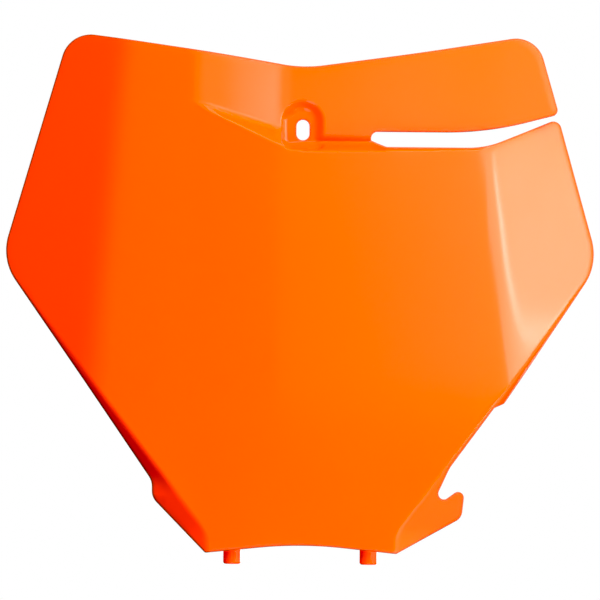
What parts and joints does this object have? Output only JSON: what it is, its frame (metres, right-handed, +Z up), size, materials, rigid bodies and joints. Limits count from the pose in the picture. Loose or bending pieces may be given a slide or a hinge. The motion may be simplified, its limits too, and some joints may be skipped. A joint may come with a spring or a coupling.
{
  "type": "motorbike front number plate",
  "caption": "Moulded number plate for the front of an off-road motorbike, with swept wings, a bolt recess, a hose slit and hook, return lips and locating pegs",
  "frame": {"origin": "centre of the bolt slot, on the rear face that seats against the bike", "axes": "+X to the viewer's right when the plate is seen from the front, +Y to the rear, +Z up"},
  "size_m": [0.2876, 0.0392, 0.2571],
  "materials": {
    "plate_plastic": "glossy moulded orange"
  },
  "bodies": {
    "root": {"number_plate": "plate_plastic"}
  },
  "joints": []
}
